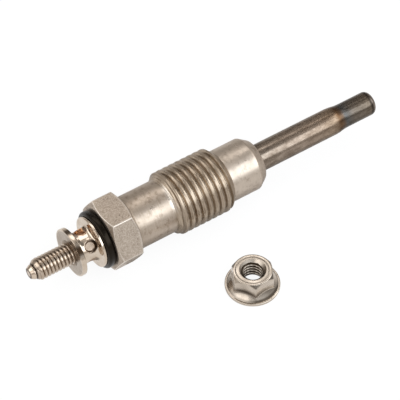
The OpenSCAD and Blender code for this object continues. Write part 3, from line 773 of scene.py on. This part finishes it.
def makeFlangedNut(part, material):
    angles = hexAngles(part["steps"])
    cols = len(angles)
    low, high = nodeBox("terminal_nut")
    centre, top = (low + high) / 2, part["height"]
    hexR = hexRadius(angles, part["across"], part["corner"])[0]
    flangeR, rim = part["flangeDia"] / 2, part["rimRound"]
    soft, footSoft = part["crownSoft"], part["footSoft"]
    crownR, sinkR, boreR = part["crownDia"] / 2, part["sinkDia"] / 2, part["boreDia"] / 2
    slope = math.tan(math.radians(part["crownSlope"]))
    ledgeR, shoulder = flangeR - part["ledge"], top - part["crownDrop"]
    under = strip(cols, 0.0, sinkR, 0.0, flangeR - rim, 6)
    lowEdge = arcStrip(cols, rim, flangeR - rim, rim, 0, 90, 5)
    side = strip(cols, rim, flangeR, part["rim"] - rim, flangeR, 2)
    topEdge = arcStrip(cols, part["rim"] - rim, flangeR - rim, rim, 90, 180, 5)
    ledge = strip(cols, part["rim"], flangeR - rim, part["rim"], ledgeR, 3)

    # outside, from the rim up: whichever reaches further of the flange's cone and the hexagon,
    # which gives way softly to the crown's chamfer
    wall = strip(cols, part["rim"], ledgeR, shoulder, ledgeR, 90)
    z = wall[0]
    cone = ledgeR + (z - part["rim"]) / (part["skirt"] - part["rim"]) * (part["across"] / 2 - ledgeR)
    crown = crownR + (shoulder - z) / slope
    hexagon = -soft * np.logaddexp(-hexR / soft, -crown / soft)
    wall[1] = footSoft * np.logaddexp(hexagon / footSoft, cone / footSoft)

    # crown: a quarter of an ellipse that starts from the wall's last row, then the face with a turned groove
    bend = np.arange(part["crownRows"])[:, None] / part["crownRows"] * np.pi / 2
    crownBend = np.stack([shoulder + part["crownDrop"] * np.sin(bend) + np.zeros(cols),
                          crownR - part["crownRound"] * (1 - np.cos(bend)) + np.zeros(cols)])
    crownBend[1] -= (crownR - wall[1, -1:]) * np.cos(bend)
    crownFace = strip(cols, top, crownR - part["crownRound"], top, sinkR, 16)
    inGroove = bell(crownFace[1] - part["grooveDia"] / 2, part["grooveWide"])
    crownFace[0] -= part["grooveDepth"] * inGroove

    # inside, from the top down: countersink, thread cut outwards from the bore, countersink
    threadRows = int(part["rowsPerTurn"] * top / part["pitch"])
    inside = strip(cols, top, boreR, 0.0, boreR, threadRows)
    cut = threadCut(inside[0], angles, part["pitch"], part["depth"], part["crest"], part["soft"])
    mouths = np.maximum(sinkR - (top - inside[0]), sinkR - inside[0])
    inside[1] = np.maximum(boreR + cut, mouths)
    grid = np.concatenate([under, lowEdge, side, topEdge, ledge, wall, crownBend, crownFace, inside], axis=1)

    # painted shade over the foot of the hexagon, strongest on one side, along the ledge line, on the
    # chamfered corners and on one side of the flange
    shade = part["footShadeBase"] + patch(angles, *part["footShade"])
    foot = bell(hexagon - cone - part["footAt"], part["footWide"]) * shade
    line = bell(cone - ledgeR + part["lineAt"], part["lineWide"])
    # painted shade on one side of the flange's cone
    sideShade = np.clip((cone - hexagon) / part["sideShadeEdge"], 0, 1)
    sideShade /= 1 + np.exp((turnFrom(angles, part["sideShadeAt"]) - part["sideShadeWide"]) / part["sideShadeSoft"])
    chamfer = np.clip((hexR - hexagon) / part["chamferSoft"] - part["chamferFrom"], 0, 1) * (hexagon > cone)
    chamfer *= 1 - patch(angles, *part["brightCorner"])
    paintedShading = foot + part["lineShade"] * line + part["sideShadeDark"] * sideShade + part["chamferShade"] * chamfer
    roots = np.clip(part["rootRise"] * cut / part["depth"] - part["rootFrom"], 0, 1)
    roots = part["crestShade"] + part["rootShade"] * roots
    # the countersink's painted shade, lighter on its lit side
    sink = part["sinkShade"] - patch(angles, *part["sinkBright"])
    shadeAndTone = np.zeros(grid.shape[1:])
    sideFirst = rowsOf(under, lowEdge)
    wallFirst = sideFirst + rowsOf(side, topEdge, ledge)
    bendFirst = wallFirst + rowsOf(wall)
    faceFirst = bendFirst + rowsOf(crownBend)
    shadeAndTone[sideFirst:wallFirst] = patch(angles, *part["rimSideShade"])
    shadeAndTone[wallFirst:bendFirst] = np.clip(paintedShading, 0, part["darkest"])
    shadeAndTone[faceFirst:-threadRows] = part["grooveShade"] * inGroove
    shadeAndTone[-threadRows:] = np.where(inside[1] > mouths + part["sinkOver"], roots, sink)
    spun = angles + math.radians(part["turn"])
    x, y = centre[0] + grid[1] * np.cos(spun), centre[1] + grid[1] * np.sin(spun)
    points = np.stack([x, y, low[2] + grid[0]], axis=-1)
    makePiece("flangedNut", points, True, material, "terminal_nut", {"shadeAndTone": shadeAndTone})


makeFlangedNut(flangedNut, makePlating("nutPlating", nutPlating))


# seals, coils and powder inside, which keep their solids: dark and pale tone, metallic, roughness and grain

innerFinish = {
    "heater_seal": ("brownRubber", (0.17, 0.085, 0.05, 1), (0.24, 0.13, 0.08, 1), 0.0, 0.6, 3000),
    "control_coil": ("controlWire", (0.4, 0.37, 0.33, 1), (0.52, 0.48, 0.43, 1), 1.0, 0.32, 6000),
    "heating_coil": ("heatingWire", (0.34, 0.29, 0.24, 1), (0.46, 0.41, 0.36, 1), 1.0, 0.36, 6000),
    "magnesia_fill": ("packedPowder", (0.72, 0.69, 0.62, 1), (0.84, 0.81, 0.75, 1), 0.0, 0.85, 5000),
}
innerGrain = {"detail": 3.0, "rough": 0.6, "bump": 0.4, "depth": 0.01}


def finishInner(node, mat):
    frame["nodes"][node].data.materials.clear()
    frame["nodes"][node].data.materials.append(mat)


for node, (name, dark, pale, metallic, roughness, grain) in innerFinish.items():
    mat, shader = startMaterial(name, Metallic=metallic, Roughness=roughness)
    speck = noiseAt(mat, (grain,) * 3, innerGrain["detail"], innerGrain["rough"])
    join(mat, mixColour(mat, speck, dark, pale), shader.inputs["Base Color"])
    join(mat, bumpOf(mat, speck, innerGrain["bump"], innerGrain["depth"]), shader.inputs["Normal"])
    finishInner(node, mat)
finishInner("pole_seal", rubber)
print("inner pieces finished:", len(innerFinish) + 1)


# camera, at the photo's angle

view = {"azimuth": -33.607, "elevation": 49.656, "distance": 435.58, "target": (2.7, 0, 0),
        "aimRight": -0.753, "aimUp": -2.598, "lens": 222.7, "sensor": 36, "near": 0.01}

turnA, riseA = math.radians(view["azimuth"]), math.radians(view["elevation"])
back = Vector((math.sin(turnA) * math.cos(riseA), -math.cos(turnA) * math.cos(riseA), math.sin(riseA)))
right = Vector((math.cos(turnA), math.sin(turnA), 0))
up = back.cross(right)
target = Vector(view["target"])
eye = target + back * view["distance"]
aim = target + right * view["aimRight"] + up * view["aimUp"]
camera = bpy.data.objects.new("camera", bpy.data.cameras.new("camera"))
camera.data.lens = view["lens"]
camera.data.sensor_width = view["sensor"]
camera.data.clip_start = view["near"]
camera.location = eye * mm
camera.rotation_euler = (aim - eye).to_track_quat("-Z", "Y").to_euler()
scene.collection.objects.link(camera)
scene.camera = camera
print("camera set")


# floor, lamps and room

studio = {
    "floorSize": 12.0, "floorGlow": 0.92, "paper": (0.95, 0.95, 0.95, 1), "room": (0.67, 0.645, 0.62, 1),
    # direction from the plug, then distance, width, height, brightness and colour
    "lamps": {"front": ((0.36, -0.7, 0.618), 0.6, 1.2, 0.4, 2.75, (0.84, 0.92, 1.0)),
              "above": ((0.36, 0.273, 0.893), 0.6, 1.1, 0.19, 1.8, (1, 1, 1)),
              "left": ((-0.7, 0.02, 0.58), 0.6, 0.9, 0.3, 1.9, (0.95, 0.98, 1.0))},
    # dark flags between the front and the upper lamp and low at the back:
    # direction, distance, width, height and grey
    "flags": {"upperFlag": ((0.358, -0.138, 0.924), 0.55, 1.3, 0.13, (0.16, 0.15, 0.14, 1)),
              "rearFlag": ((0.358, 0.843, 0.402), 0.55, 1.3, 0.336, (0.36, 0.34, 0.32, 1))},
    # grey card that lies under and behind the plug; under the plug it stands in for the floor's shadow, a
    # painted shadow in the reflections; card and flags are seen only in the metal
    "card": {"front": -0.0085, "back": 0.5, "left": -0.016, "right": 0.6, "lift": 0.0001,
             "grey": (0.55, 0.53, 0.51, 1)},
    "cardRough": 0.9,
}


def flatPlane(name, corners):
    mesh = bpy.data.meshes.new(name)
    mesh.from_pydata(corners, [], [(0, 1, 2, 3)])
    plane = bpy.data.objects.new(name, mesh)
    scene.collection.objects.link(plane)
    return plane


# a card or flag, which only the metal's reflections show
def reflectedCard(name, corners, grey):
    plane = flatPlane(name, corners)
    mat = startMaterial(name, **{"Base Color": grey, "Roughness": studio["cardRough"]})[0]
    plane.data.materials.append(mat)
    plane.visible_camera = False
    plane.visible_diffuse = False
    plane.visible_shadow = False


half, floorAt = studio["floorSize"] / 2, floorZ * mm
floor = flatPlane("floor", [(-half, -half, floorAt), (half, -half, floorAt),
                            (half, half, floorAt), (-half, half, floorAt)])
mat = bpy.data.materials.new("paleFloor")
mat.use_nodes = True
mat.node_tree.nodes.clear()
lightPath = addNode(mat, "ShaderNodeLightPath", {})
seen = mathOf(mat, "MAXIMUM", lightPath.outputs["Is Camera Ray"], lightPath.outputs["Is Glossy Ray"])
seen = mathOf(mat, "MAXIMUM", seen, lightPath.outputs["Is Transmission Ray"])
paper = addNode(mat, "ShaderNodeBsdfDiffuse", {"Color": studio["paper"]}).outputs[0]
glow = addNode(mat, "ShaderNodeEmission", {"Color": (1, 1, 1, 1), "Strength": 1.0}).outputs[0]
share = mathOf(mat, "MULTIPLY", seen, studio["floorGlow"])
mixed = addNode(mat, "ShaderNodeMixShader", {0: share, 1: paper, 2: glow}).outputs[0]
addNode(mat, "ShaderNodeOutputMaterial", {"Surface": mixed})
floor.data.materials.append(mat)

card = studio["card"]
cardAt = floorAt + card["lift"]
reflectedCard("greyCard", [(card["left"], card["front"], cardAt), (card["right"], card["front"], cardAt),
                           (card["right"], card["back"], cardAt), (card["left"], card["back"], cardAt)],
              card["grey"])
for name, (direction, distance, width, height, grey) in studio["flags"].items():
    middle = Vector(direction).normalized() * distance
    across = Vector((0, 0, 1)).cross(middle).normalized() * (width / 2)
    along = middle.cross(across).normalized() * (height / 2)
    reflectedCard(name, [middle - across - along, middle + across - along,
                         middle + across + along, middle - across + along], grey)

world = bpy.data.worlds.new("studio")
scene.world = world
world.use_nodes = True
world.node_tree.nodes.clear()
room = addNode(world, "ShaderNodeBackground", {"Color": studio["room"], "Strength": 1.0}).outputs[0]
addNode(world, "ShaderNodeOutputWorld", {"Surface": room})

for name, (direction, distance, width, height, bright, colour) in studio["lamps"].items():
    lamp = bpy.data.lights.new(name, "AREA")
    lamp.shape = "RECTANGLE"
    lamp.size, lamp.size_y, lamp.color = width, height, colour
    lamp.energy = bright * math.pi * width * height      # radiance of the panel times its area
    lampObj = bpy.data.objects.new(name, lamp)
    lampObj.location = Vector(direction).normalized() * distance
    lampObj.rotation_euler = (-lampObj.location).to_track_quat("-Z", "Y").to_euler()
    scene.collection.objects.link(lampObj)
scene.view_settings.view_transform = "Standard"
print("studio set:", len(studio["lamps"]), "lamps")
